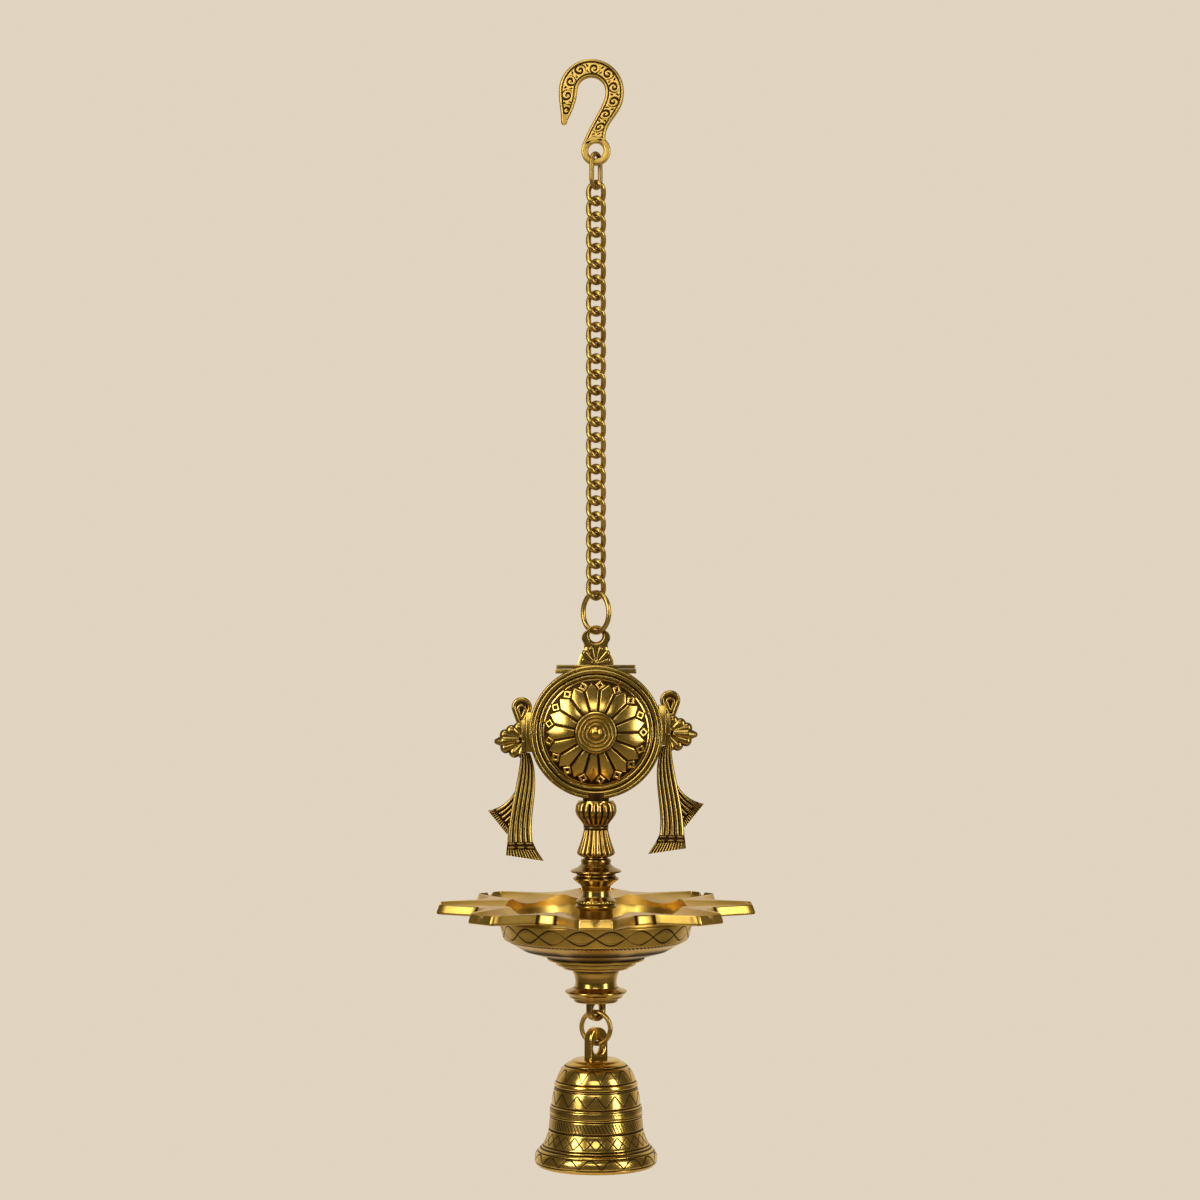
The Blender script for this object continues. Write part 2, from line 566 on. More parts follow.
# %% Scrollwork of the hook
def scrolls(along, across):
    """Cut depth of the scrollwork: spirals that turn left and right by turns, with drops between them."""
    k = np.round(along / SCROLL_STEP)
    flip = np.where(k % 2 == 0, 1, -1)
    x, v = along - k * SCROLL_STEP, (across + 0.3 * flip) * flip
    far, turn = np.hypot(x, v), np.arctan2(v, x) / (2 * np.pi)
    spiral = np.abs((far / 2.1 - turn) % 1.0 - 0.5) * 2.1
    curl = np.clip(1.5 - spiral / 0.46, 0, 1) * (far < 3.0) * (far > 0.3)
    x = np.abs(x) - SCROLL_STEP / 2
    drops = [np.hypot(x - a, (v - b) / c) < r
             for a, b, c, r in ((0.2, 1.6, 0.9, 0.85), (0.3, -1.5, 0.8, 0.75))]
    return np.maximum(curl, np.max(drops, 0) * 1.0)


rule = np.clip(1.5 - np.abs(border - PANEL_EDGE) / 0.36, 0, 1)
inside_rule = np.clip((border - 2.1) / 0.2, 0, 1)
carved = np.maximum(rule, scrolls(run + 0 * inset, inset - width / 2) * inside_rule)
print("carved share of the panel: %.2f" % (carved > 0.5).mean())

# %% Hook body and eye
slim = HOOK_T / 2 - 0.35 * np.clip((run - 86) / 4, 0, 1)
front = -(slim + 0 * inset) + 0.28 * carved + 0.1 * (border > 1.75)
back = inset[:, ::2]
walls = np.concatenate([0 * run, 0 * run, bevel * 0.45], 1)
share = np.concatenate([walls / width, inset / width, 1 - walls[:, ::-1] / width, 1 - back / width], 1)
edge_depth = np.concatenate([0 * run, -slim + 0.9, -slim + 0.3], 1)
depth = np.concatenate([edge_depth, front, edge_depth[:, ::-1], slim + 0 * back], 1)
share[:, 0], depth[:, 0] = 0.0, slim[:, 0] - 0.8
edge_mark = 0.25 + 0 * edge_depth
mark = np.concatenate([edge_mark, np.maximum(carved, 0.25 * (border < 1.4)), edge_mark, 0 * back], 1)
mark = np.pad(mark, [(1, 1), (0, 0)])
eye = eye_plate(EYE_Z, EYE_HOLE_R, 0.4, HOOK_T, lambda t: EYE_R + 0 * t, 0, 1.1)
hook_body = surface(blade(left_edge, right_edge, share, depth, 0.0), recess=mark * 0.35)
hook = piece("brass_hook", ["hook"], [hook_body, surface(eye, LOOP, recess=0.08)], hook_brass)
print("hook:", len(hook.data.polygons), "faces")

# %% [markdown]
# ## The chain
# Each curb link is a wire bent to a stadium and twisted, so that its two ends lie crosswise and the chain
# can hang flat. A tube along that twisted line gives a round wire. Every link is its own piece, because it
# swings by itself.

# %% Curb links
def stadium(end_r, straight, count):
    """Points at equal steps round a stadium: two straight sides and two half circles."""
    run = (np.arange(count) + 0.5) / count * (2 * straight + 2 * np.pi * end_r)
    second = run >= straight + np.pi * end_r
    q = run - second * (straight + np.pi * end_r)
    turn = np.clip(q - straight, 0, None) / end_r
    x = np.where(q < straight, end_r, end_r * np.cos(turn))
    z = np.where(q < straight, q - straight / 2, straight / 2 + end_r * np.sin(turn))
    return np.stack([x, z], 1) * np.where(second, -1, 1)[:, None]


flat_link = stadium((LINK_W - LINK_WIRE) / 2, link_hc - LINK_W + LINK_WIRE, 72)
twist = np.radians(-LINK_TWIST) * flat_link[:, 1] / (link_hc / 2)
link_line = np.stack([flat_link[:, 0] * np.cos(twist), flat_link[:, 0] * np.sin(twist), flat_link[:, 1]], 1)
link_ends = 0.8 * np.clip(np.abs(link_line[:, 2:]) / (link_hc / 2) - 0.5, 0, 1)
for k in range(LINKS):
    grid = tube(link_line + [LINE_X, 0, link_top - k * PITCH - link_hc / 2], LINK_WIRE)
    number = "link_%02d" % (k + 1)
    piece("curb_" + number, ["chain_" + number], [surface(grid, LOOP, recess=link_ends)], chain_brass)
print("curb links:", LINKS)

# %% Oval link and rings
oval = stadium((OVAL_IN + OVAL_WIRE) / 2, OVAL_LEN - OVAL_IN - OVAL_WIRE, 110)
oval = tube(hung(oval, OVAL_TURN, (oval_hi + oval_lo) / 2), OVAL_WIRE, 18)
upper_ring = ring(RING_D, RING_WIRE, RING_TURN, (ring_top + ring_bot) / 2)
lower_ring = ring(BELL_RING_D, BELL_WIRE, BELL_TURN, (bell_ring_top + bell_ring_bot) / 2)
piece("oval_link", ["hook_link"], [surface(oval, LOOP, recess=0.42)], chain_brass)
piece("upper_ring", ["lamp_ring"], [surface(upper_ring, LOOP)], chain_brass)
piece("bell_hanger", ["bell_ring"], [surface(lower_ring, LOOP)], chain_brass)
print("wire pieces:", LINKS + 3)

# %% [markdown]
# ## The crown over the discus
# The lamp hangs by a flat eye with round shoulders. Below it a fan of leaves spreads over two thin lintel
# bars. The eye's outline is a union of circles, so its reach from the hole is the farthest circle in each
# direction. The leaf ribs are lobes that lean outwards from one point, on the front and on the back.

# %% Reach of an outline, and bars
def circle_reach(t, x, z, r):
    """Distance from the origin to the far side of a circle along each direction, or zero where it misses."""
    d = x * np.cos(t) + z * np.sin(t)
    inside = r * r - x * x - z * z + d * d
    return np.where(inside > 0, d + np.sqrt(np.maximum(inside, 0)), 0)


def box_reach(t, half, down, up):
    """Distance from the origin to the sides of a box."""
    c, s = np.abs(np.cos(t)) + 1e-9, np.sin(t)
    return np.minimum(half / c, np.where(s < 0, down, up) / (np.abs(s) + 1e-9))


def bar(low, high, round_off=0.4):
    """Rounded bar along X between two corners: a rounded section carried from end to end, closed at both."""
    (x0, y0, z0), (x1, y1, z1) = low, high
    section = rounded([[y0, z0], [y1, z0], [y1, z1], [y0, z1]], round_off, True)
    core = section.mean(0)
    x = np.array([x0, x0, x0 + 0.15, x0 + 0.4, x1 - 0.4, x1 - 0.15, x1, x1])
    size = np.array([0, 0.9, 0.97, 1, 1, 0.97, 0.9, 0])[:, None, None]
    yz = core + (section - core) * size
    return np.stack([np.broadcast_to(x[:, None], yz.shape[:2]), yz[..., 0], yz[..., 1]], 2)


print("grid of a bar:", bar([0, 0, 0], [9, 2, 2]).shape)

# %% Eye and crown
def lug_reach(t):
    """Round eye with two shoulders and a foot."""
    shoulder = LUG_W / 2 - 3.7
    parts = [circle_reach(t, 0, 0, LUG_HOLE_R + 2.1), circle_reach(t, shoulder, -1, 3.7),
             circle_reach(t, -shoulder, -1, 3.7), np.where(np.sin(t) < -0.35, box_reach(t, 6.2, 7.4, 0), 0)]
    return blurred(np.max(parts, 0), 3, True, 0)


lug = eye_plate(lug_z, LUG_HOLE_R, 1.1, LUG_T, lug_reach, 0, 0.45)
half = LUG_W * 0.6
crown_x = np.array([half - 3.4, half - 2.6, half - 1, half, half + 0.4])
crown_z = np.array([0, -0.28, -0.4, -0.72, -1.06]) * CROWN_H + crown_top
crown_edge = spaced(rounded(np.stack([crown_x, crown_z], 1), 1.2), 0.7)
crown_share, crown_depth = (np.broadcast_to(row, (len(crown_edge), 10)) for row in np.array([
    [0, 0, 0.1, 0.5, 0.9, 1, 1, 0.9, 0.5, 0.1], [2.6, -2.6, -3.3, -3.5, -3.3, -2.6, 2.6, 3.3, 3.5, 3.3]]))
crown = blade(crown_edge * [-1, 1] + [LINE_X, 0], crown_edge + [LINE_X, 0], crown_share, crown_depth, 0.0)
print("eye grid:", lug.shape, "crown grid:", crown.shape)

# %% Leaf fan and lintel
# Ribs: lean, height over the lintel, start and length along the lean, both end radii, depth and swell
ribs = [(lean, 0.4, 2.2, length, 0.6, wide, 3.5, 0.75) for lean, length, wide in (
    (-72, 4.4, 1.4), (-45, 6.0, 1.55), (-17, 6.0, 1.55), (17, 6.0, 1.55), (45, 6.0, 1.55), (72, 4.4, 1.4))]
ribs += [(lean, 0.3, 0.0, 2.1, 0.5, 0.85, 4.0, 0.8) for lean in (-60, -20, 20, 60)]
fan = []
for face in (-1, 1):
    for lean, rise, start, length, thin, wide, depth, swell in ribs:
        way = circle(math.radians(lean))[::-1]
        root = np.array([LINE_X, lintel_top + rise]) + way * start
        leaf_rib = lobe(root, root + way * length, thin, wide, face * depth, swell)
        fan.append(surface(leaf_rib, recess=lobe_sides))
left, right = LINE_X - LINTEL_W / 2, LINE_X + LINTEL_W / 2
upper = bar([left + 0.5, -4.4, lintel_top - 1.9], [right - 0.5, 4.4, lintel_top])
lower = bar([left, -5.0, lintel_bot], [right, 5.0, lintel_bot + 2.2])
lintel = [surface(upper, reach=1), surface(lower, reach=1)]
piece("leaf_crown", ["eye_crown"], [surface(lug, LOOP), surface(crown)] + lintel + fan, leaf_brass)
print("crown leaves:", len(fan))

# %% [markdown]
# ## The lotus discus
# The discus is two domes riveted back to back inside a moulded rim. Its rim is a lathe about the Y axis. A
# dome is a height over a polar grid: the dome's curve, plus a raised step wherever a point lies inside a
# petal. A petal is a wedge with a pointed end, so the test compares the sideways distance from its middle
# line with half its width at that radius. Small pierced squares fill the gaps between the petal tips.

# %% Discus rim with studs
def about_y(profile, count, lift=0.0):
    """Lathe about the discus axis: the radius turns in the upright plane, the height runs along Y."""
    t = full_turn(count)
    r, y = profile[:, :1], profile[:, 1:] + lift
    return np.stack([LINE_X + r * np.cos(t), y + 0 * t, disc_z + r * np.sin(t)], 2)


def studs(radius, count, y, size, start):
    """Small round studs on a circle, each a lobe that is nearly a ball."""
    middle, ways = np.array([LINE_X, disc_z]), circle(np.radians(start + np.arange(count) * 360 / count))
    return [surface(lobe(middle + radius * way, middle + (radius + 0.1) * way, size, size, y, 0.9, 10))
            for way in ways]


rim_half = RIM_T / 2
mouldings = [(rim_in + RIM_W * share, down) for share, down in (
    (0.12, 0.5), (0.26, 0.5), (0.36, 1.3), (0.44, 0.2), (0.52, 0), (0.66, 0.1), (0.71, 0.7), (0.77, 0.15))]
half_rim = below(rim_half, (rim_in + 0.1, 1.6), *mouldings, (DISC_R - RIM_W * 0.08, 0.2), (DISC_R, 0.9))
rim_line = np.array(half_rim + [[r, -y] for r, y in half_rim[::-1]])
rim_line = rounded(np.concatenate([rim_line, rim_line[:1]]), 0.35)[:-1]
rim_surface = surface(about_y(rim_line, 260), LOOP, reach=4)
dots = []
for face in (-1, 1):
    dots += studs(rim_in + RIM_W * 0.19, 24, face * (rim_half - 0.5), 0.5, 4)
    dots += studs(DISC_R - RIM_W * 0.14, 30, face * (rim_half - 0.2), 0.42, 0)
strip = bar([-10.4, -4.2, -2], [10.4, 4.2, 2], 0.6)[..., ::-1]
strips = [surface(strip + [LINE_X + side * (strip_x - 2), 0, disc_z + rise], reach=1)
          for side, rise in ((-1, 0), (1, SIDE_RISE))]
boss = turned(rounded(below(stem_top, (0, -4.4), (6.8, -4.4), (6.8, 0), (0, 0)), 0.3), 72)
piece("discus_rim", ["disc_rim"], [rim_surface, surface(boss, recess=0.3)] + strips + dots, rim_brass)
print("studs on the rim:", len(dots))

# %% Height of a lotus dome
def dome_curve(r):
    """Height of the smooth dome at a radius."""
    q = np.clip((r - HUB_R) / (rim_in - HUB_R), 0, 1)
    return DOME_H - (DOME_H - RIM_T / 2 + 1.4) * q ** 1.55


def lotus(r, t):
    """Share of each point on a petal or a pierced square, and the swell over a petal's middle line."""
    half = math.pi / PETALS
    lean = (t - math.pi + half) % (2 * half) - half
    side = np.abs(r * np.sin(lean))
    shoulder, end = HUB_R + (rim_in - HUB_R) * 0.66, rim_in - 1.1
    pointed = shoulder * math.sin(half) * np.clip((end - r) / (end - shoulder), 0, 1)
    wide = np.where(r < shoulder, r * math.sin(half), pointed) - 0.5
    petal = np.clip((wide - side) / 0.3, 0, 1) * (r > HUB_R + 0.3) * (r < end)
    swell = np.clip(1 - (side / (np.maximum(wide, 0) + 0.3)) ** 2, 0, 1)
    lean = (t - math.pi) % (2 * half) - half
    across, along = np.abs(r * np.sin(lean)), np.abs(r * np.cos(lean) - rim_in + 2.95)
    square = np.clip((2.7 - across - along) / 0.3, 0, 1) * (1 - np.clip((1.25 - across - along) / 0.3, 0, 1))
    return petal, square, swell


print("dome height at hub and rim: %.1f and %.1f mm" % (dome_curve(HUB_R), dome_curve(rim_in)))

# %% Both domes and the rivet
rows = np.linspace(rim_in, HUB_R + 0.05, 84)
top = DOME_H + 1.4
hub = [[HUB_R, DOME_H], [HUB_R, top - 0.5], [HUB_R - 0.5, top]]
for ring_r in (0.8, 0.62, 0.44):
    hub += [[HUB_R * ring_r + 0.35, top], [HUB_R * ring_r, top - 0.45], [HUB_R * ring_r - 0.35, top]]
hub = rounded(hub + [[2.1, top], [2.1, 0.1]], 0.15)
dome_line = np.concatenate([[[rim_in, 0.1]], np.stack([rows, dome_curve(rows)], 1), hub])
columns = PETALS * 30
petal, square, swell = lotus(dome_line[:, :1], full_turn(columns)[None])
on_dome = ((dome_line[:, :1] > HUB_R + 0.02) & (np.arange(len(dome_line))[:, None] > 0)) * 1.0
raised = on_dome * (petal * (0.62 + 0.14 * swell) + 0.6 * square)
between = on_dome * (1 - np.maximum(petal, square))
for face, name in ((-1, "disc_front"), (1, "disc_back")):
    grid = about_y(dome_line, columns, raised)
    grid[..., 1] *= face
    depth = recess_of(grid, LOOP, 3) + 0.16 * between
    piece("lotus_" + name, [name], [surface(grid, LOOP, recess=depth)], lotus_brass, sharp=60)
head = [[0, top + 1.9], [1.5, top + 1.6], [2.6, top + 0.9], [3.1, top], [1.9, top]]
rivet = rounded([[r, -y] for r, y in head] + head[::-1], 0.3)
piece("hub_nipple", ["hub_rivet"], [surface(about_y(rivet, 64))], lotus_brass)
print("dome grid:", grid.shape)

# %% [markdown]
# ## Leaves, bows and ribbons at the sides
# Each side of the discus carries a lobed leaf, a bow loop above it and two hanging ribbons that end in a
# fringe. The leaf is a cluster of lobes round one knot. A ribbon is a blade between two curves, with
# flutes along it: its depth follows the sine of the distance across. At the fringe the same formula runs
# with many more, finer strands. The right side is the mirror image of the left one, set a little higher.

# %% Shapes for leaf and ribbon
def at(*pairs):
    """Points given as distance out from the side strip and height over the discus centre."""
    return np.array([[a - strip_x, b] for a, b in pairs], float)


def drop_line(small, large, rise):
    """Closed line round two circles, the small one at the origin and the large one above it."""
    b = math.asin((large - small) / rise)
    upper = large * circle(np.linspace(-b, np.pi + b, 44)) + [0, rise]
    lower = small * circle(np.linspace(np.pi + b, 2 * np.pi - b, 26)[1:-1])
    down = np.linspace(upper[-1], lower[0], 22)[1:-1]
    up = np.linspace(lower[-1], upper[0], 22)[1:-1]
    return np.concatenate([upper, down, lower, up])


def fluted(left, right, flutes, thick, relief, y, bulge=0.0, across=0.0):
    """Blade whose depth is a row of half rounds: thickness, bulge and the sine of the distance across."""
    s = np.linspace(0, 1, 10 * flutes + 1)
    fold = np.abs(np.sin(np.pi * flutes * s))
    d = thick / 2 + relief * (fold - 0.5) * np.minimum(1, 12 * np.minimum(s, 1 - s))
    both = np.concatenate([-d, d[::-1]])[None]
    share = np.broadcast_to(np.concatenate([s, s[::-1]]), (len(left), 2 * len(s)))
    depth = np.broadcast_to(both + np.sign(both) * np.reshape(bulge, (-1, 1)), share.shape)
    groove = 0.3 * np.exp(-(np.concatenate([fold, fold[::-1]]) / 0.4) ** 2)
    dark = np.maximum(groove, np.reshape(across, (-1, 1)))
    return surface(blade(left, right, share, depth, y), recess=dark)


def hanging_ribbon(left, right, band, hem, y):
    """Fluted ribbon, two raised bands across it and the fringe below them."""
    beads = 0.45 * np.sin(np.linspace(0, 2 * np.pi, 17)) ** 2
    dark = np.pad(0.35 * np.exp(-(beads / 0.12) ** 2), 1, "edge")
    belt = [np.linspace(a[-1], b, 17) for a, b in zip((left, right), band)]
    fringe = [np.linspace(a, b, 8) for a, b in zip(band, hem)]
    return [fluted(left, right, 5, 1.5, 0.75, y), fluted(*belt, 3, 1.8, 0.1, y, beads, dark),
            fluted(*fringe, 12, 1.4, 0.5, y)]


print("points round a drop:", len(drop_line(1.0, 2.0, 3.0)))

# %% Leaf and bow
# Lobes of the leaf: both ends, the radius at each end and the swell
leaf = [((-2.4, -1.6), (-3.6, 2.2), 1.6, 2.9, 0.8), ((-3.0, -2.6), (-7.4, 0.5), 1.8, 3.1, 0.8),
        ((-1.6, -7.0), (-2.2, -11.2), 1.6, 2.5, 0.85), ((-2.4, -6.6), (-6.0, -10.6), 1.7, 2.9, 0.85),
        ((-4.0, -3.6), (-10.9, -1.5), 1.8, 2.8, 1.0), ((-3.6, -5.6), (-10.4, -8.2), 1.8, 3.0, 1.0),
        ((-4.6, -4.4), (-11.2, -4.8), 2.2, 3.2, 1.25), ((-11.2, -4.8), (-15.0, -5.0), 3.1, 1.5, 1.28)]
leaf += [((x, z), (x - 0.1, z), 1.4, 1.4, 2.6) for x, z in ((-2.4, -2.2), (-1.3, -4.8), (-3.9, -4.8))]
lobes = [surface(lobe(*at(a, b), ra, rb, 0, swell), recess=lobe_sides) for a, b, ra, rb, swell in leaf]
BOW_SMALL, BOW_LARGE, BOW_RISE, BOW_LEAN = 1.7, 4.1, 6.2, math.radians(3)
x, z = drop_line(BOW_SMALL, BOW_LARGE, BOW_RISE).T
bow = np.stack([-strip_x - 2.5 + x * math.cos(BOW_LEAN) + z * math.sin(BOW_LEAN), 0 * x,
                6.6 - x * math.sin(BOW_LEAN) + z * math.cos(BOW_LEAN)], 1)
centre = bow.mean(0)
inner_bow = centre + (bow - centre) * [0.45, 1, 0.52]
bow_web = lobe(*at((-2.5, 6.6), (-2.2, 12.8)), BOW_SMALL, BOW_LARGE, 0, 0.2)
bows = [surface(tube(bow, 2.4, 16), LOOP, recess=0.0), surface(tube(inner_bow, 2.0, 12), LOOP, recess=0.0),
        surface(bow_web, recess=0.3)]
print("leaf lobes:", len(lobes))

# %% Ribbons, and both sides
ribbons = hanging_ribbon(
    bezier(*at((-2.8, -10), (-2.6, -22.2), (-9, -39.3), (-9.5, -57)), 60),
    bezier(*at((2.2, -11), (8.6, -27), (1, -43), (3.5, -57)), 60),
    at((-10, -61), (5.4, -61)), at((-10.3, -64), (9.2, -66.9)), -1.5)
ribbons += hanging_ribbon(
    bezier(*at((-2, -17), (-3.2, -32.6), (-11, -38.3), (-16, -40)), 50),
    bezier(*at((2.6, -19), (0.9, -37.8), (-5.9, -46.6), (-8, -49.6)), 50),
    at((-17.2, -40.5), (-8.7, -50.8)), at((-19.7, -41.1), (-9.8, -53.4)), 1.5)
pad = surface(bar([-10.5, -3.4, -1.1], [6.5, 3.4, 1.1])[..., ::-1] + [-strip_x - 1.1, 0, 0], reach=1)
ornament = lobes + bows + ribbons + [pad]
for name, side, rise in (("side_left", 1, 0.0), ("side_right", -1, SIDE_RISE)):
    placed = [dict(s, grid=s["grid"] * [side, 1, 1] + [LINE_X, 0, disc_z + rise]) for s in ornament]
    piece("leaf_and_ribbons_" + name[5:], [name], placed, leaf_brass, sharp=50)
print("surfaces on each side:", len(ornament))

# %% [markdown]
# ## Stem, foot and their lathe work
# The stem starts as a ribbed cup of leaves and runs out into a fluted skirt. It is a lathe whose radius
# also changes with the angle: the ribs are the absolute cosine of the angle, and they fade out at cup
# edge, neck and hem. Below it the turned discs, the waist and the spool under the pan are plain lathes
# with rounded corners.

# %% Fluted stem
FLUTES, NECK_R, NECK_DOWN = 18, 6.2, 14.6


def smooth(low, high, x):
    """Smooth step from 0 to 1."""
    q = np.clip((x - low) / (high - low), 0, 1)
    return q * q * (3 - 2 * q)


t = full_turn(FLUTES * 20)[None]
rib = np.abs(np.cos(t * FLUTES / 2))
down = np.linspace(0, 1, 120)[:, None] * FLUTE_H
bowl = np.interp(down, [0, 2.4, 5.2, 7.2, 9.0, 10.8, 12.4, 13.2, 14.0, NECK_DOWN],
                 [9.2, 10.4, 10.8, 10.3, 9.2, 7.7, 6.6, 6.3, 6.8, NECK_R])
skirt = np.interp(down, [NECK_DOWN, 18.6, 22.8, 25.6, 27.0, 28.0, 28.6, 29.1],
                  [NECK_R, 7.1, 8.4, 9.5, 9.9, 9.7, 8.6, 7.4])
smooth_line = blurred(np.where(down < NECK_DOWN, bowl, skirt), 2, False, 0)
leaf_part = smooth(0.6, 2.2, down) * smooth(13.2, 11.6, down)
skirt_part = smooth(14.4, 15.6, down) * smooth(29.0, 28.0, down)
between_ribs = (1 - rib ** 0.8) * (1.15 * leaf_part + 0.85 * skirt_part)
stem_grid = about_line(smooth_line - between_ribs, t, stem_top - down)
caps = [np.broadcast_to([LINE_X, 0, z], (1, t.shape[1], 3)) for z in (stem_top, stem_top - FLUTE_H)]
neck_lines = 0.3 * np.exp(-((down - 13.2) / 0.5) ** 2) + 0.3 * np.exp(-((down - 14.7) / 0.4) ** 2)
stem_shadow = np.pad(0.26 * between_ribs + neck_lines, [(1, 1), (0, 0)])
stem_surface = surface(np.concatenate([caps[0], stem_grid, caps[1]]), recess=stem_shadow)
piece("fluted_stem", ["stem_flute"], [stem_surface], stem_brass, sharp=60)
print("stem grid:", stem_grid.shape)

# %% Turned stem
WAIST_R, DRIP_R, BEADS = 7.4, 13.3, 32
stem_line = spaced(rounded(
    below(base_top, (0, 0), (NECK_R, 0), (NECK_R, 1), (WAIST_R + 0.5, 1.3), (WAIST_R + 0.5, 3),
          (WAIST_R, 3.6), (WAIST_R + 2, 5.4), (DRIP_R, 7.2), (DRIP_R, 8), (DRIP_R - 3.2, 8.8),
          (DRIP_R - 3.2, 10), (DRIP_R - 1.3, 11), (DRIP_R - 1.3, 11.6), (WAIST_R + 0.4, 15),
          (WAIST_R - 0.3, 17.5))
    + below(pan_top, (WAIST_R, -3.4), (WAIST_R + 2.8, -1.6), (WAIST_R + 2.8, 0), (WAIST_R + 2, 0.4),
            (WAIST_R + 3.4, 0.8), (WAIST_R + 3.4, 2), (WAIST_R + 1.6, 3))
    + below(floor_z, (WAIST_R + 1.6, 0), (0, 0)), 0.6), 0.5)
grid, t = turned(stem_line), full_turn(192)
bead_row = 0.35 * np.exp(-((stem_line[:, 1:] - (pan_top + 0.6)) / 0.55) ** 2) * (stem_line[:, :1] > 2)
grid[..., :2] += (bead_row * np.abs(np.sin(t * BEADS / 2)))[..., None] * circle(t)
piece("turned_stem", ["stem_base"], [surface(grid, reach=5)], waist_brass)
print("turned stem rows:", len(stem_line))

# %% Foot
FOOT_NECK_R, FOOT_R = 10.7, 16.1
foot_line = spaced(rounded(
    below(foot_top, (0, 0), (FOOT_NECK_R + 1.5, 0), (FOOT_NECK_R + 1.2, 1), (FOOT_NECK_R + 0.4, 3),
          (FOOT_NECK_R, 6), (FOOT_NECK_R + 0.5, 8.6), (FOOT_R - 1, 10), (FOOT_R, 10.4), (FOOT_R, 11.2))
    + below(foot_bot, (FOOT_R - 2.2, -3.4), (FOOT_R - 2.2, -2.4), (FOOT_R - 4.6, -1.6), (FOOT_R - 4.6, 0),
            (0, 0)), 0.8), 0.5)
foot_lug = eye_plate(foot_eye_z, FOOT_HOLE_R, 0.8, 4.0, lambda t: np.maximum(
    circle_reach(t, 0, -0.6, 5.5), np.where(np.sin(t) > 0, box_reach(t, 5.5, 1, 5.0), 0)), LUG_TURN, 0.7)
piece("foot_spool", ["foot"], [surface(turned(foot_line), reach=5), surface(foot_lug, LOOP)], stem_brass)
print("foot rows:", len(foot_line))

# %% [markdown]
# ## The pan with eight spouts
# From above the pan is a star with eight flat ends. Seen from the middle, its outline is one reach for
# each angle: a straight spout end, a straight flank and a short bridge between two spouts, and the ray
# meets the nearest of them. Its top is flat but for one rounded trough in each spout: a cone laid on its
# side, so that its lowest line is level. The height of a cone over a point follows from one quadratic
# equation. A small notch in each end holds the wick.

# %% Outline of the pan
SPOUT_R, SPOUT_W, NOTCH_R, SPOUTS, BOWL_R, PAN_WALL, RIM_PAN = 82.5, 18.0, 65.0, 8, 50.7, 2.4, 5.0
TROUGH_D, WICK_R, BRIDGE_HALF = 3.6, 1.8, math.radians(4.6)
step = 2 * math.pi / SPOUTS
notch = step / 2 - BRIDGE_HALF
corner_angle = math.atan2(SPOUT_W / 2, SPOUT_R)


def from_spout(t):
    """Angle from the middle line of the nearest spout."""
    return np.abs((t + step / 2) % step - step / 2)


def spout_reach(t):
    """Reach of the spouted outline at each angle."""
    a = from_spout(t)
    corner, inner = np.array([SPOUT_R, SPOUT_W / 2]), NOTCH_R * circle(notch)
    flank = inner - corner
    cross = corner[0] * flank[1] - corner[1] * flank[0]
    side = cross / (np.cos(a) * flank[1] - np.sin(a) * flank[0])
    bridge = NOTCH_R * math.cos(BRIDGE_HALF) / np.cos(step / 2 - a)
    return np.where(a < corner_angle, SPOUT_R / np.cos(a), np.where(a < notch, side, bridge))


print("reach over a spout and a bridge: %.1f and %.1f mm" % tuple(spout_reach(np.array([0, step / 2]))))

# %% Section of the pan and its troughs
def pan_outside(out):
    """Section of the pan from the bottom, up the outside and round the rim's outer edge."""
    bowl = [(17.6, 32.3), (20.6, 32), (21, 29.9), (25.2, 29.4), (25.4, 27.6), (37, 24.4), (BOWL_R - 4.4, 19),
            (BOWL_R - 2.7, 18.2), (BOWL_R, 8.6), (BOWL_R - 0.4, 7.6)]
    rim = below(pan_top - RIM_PAN, (BOWL_R - 0.4, 0), (out - 0.5, 0), (out, -0.9))
    lip = below(pan_top, (out - 1.4, 0.3), (out - 1.9, 0))
    return rounded(below(pan_bot, (5.2, 0), (17.2, 0)) + below(pan_top, *bowl) + rim + lip, 0.55, count=6)


def trough_height(x, y):
    """Height of a trough's cone over the point x along and y across the spout, no higher than the rim."""
    near, far, wide, narrow = BOWL_R - 8, SPOUT_R - PAN_WALL - 1.6, 1.8 * SPOUT_W, 0.61 * SPOUT_W
    s = (wide - narrow) / (far - near)
    c = math.sqrt(1 - s * s)
    a = np.maximum(far + narrow / s - x, 0.1)
    root = a * a * s * s - (c * c - s * s) * y * y
    cone = np.where(root > 0, c * (a * s - np.sqrt(np.maximum(root, 0))) / (c * c - s * s), 99)
    end = np.maximum(x - far, 0) * c / s
    return np.minimum(np.maximum(cone, end) - TROUGH_D, 0)


print("trough floor below the rim: %.1f mm" % -trough_height(NOTCH_R, 0.0))

# %% Pan
stops = ((-notch, 16), (-corner_angle, 32), (corner_angle, 16), (notch, 4), (step - notch, 0))
sector = np.concatenate([np.linspace(a, b, n, endpoint=False) for (a, n), (b, _) in zip(stops, stops[1:])])
t = np.concatenate([sector + k * step for k in range(SPOUTS)])
lean = from_spout(t)
out = blurred(spout_reach(t), 2, True, 0)
base = pan_outside(70)
outside = base[:, None] + (pan_outside(71) - base)[:, None] * (out - 70)[:, None]
inner_r = BOWL_R - PAN_WALL
share = np.linspace(0, 1, 52)[:, None]
r = (out - 2.0) * (1 - share) + inner_r * share
top = np.stack([r, pan_top + trough_height(r * np.cos(lean), r * np.sin(lean))], 2)
inside = rounded(
    below(pan_top, (inner_r, 4.4), (inner_r, 6), (inner_r - 1, 10))
    + below(floor_z, (BOWL_R - 6, -8), (35, -2.2), (22, 0), (5.2, 0)), 1.2, count=6)
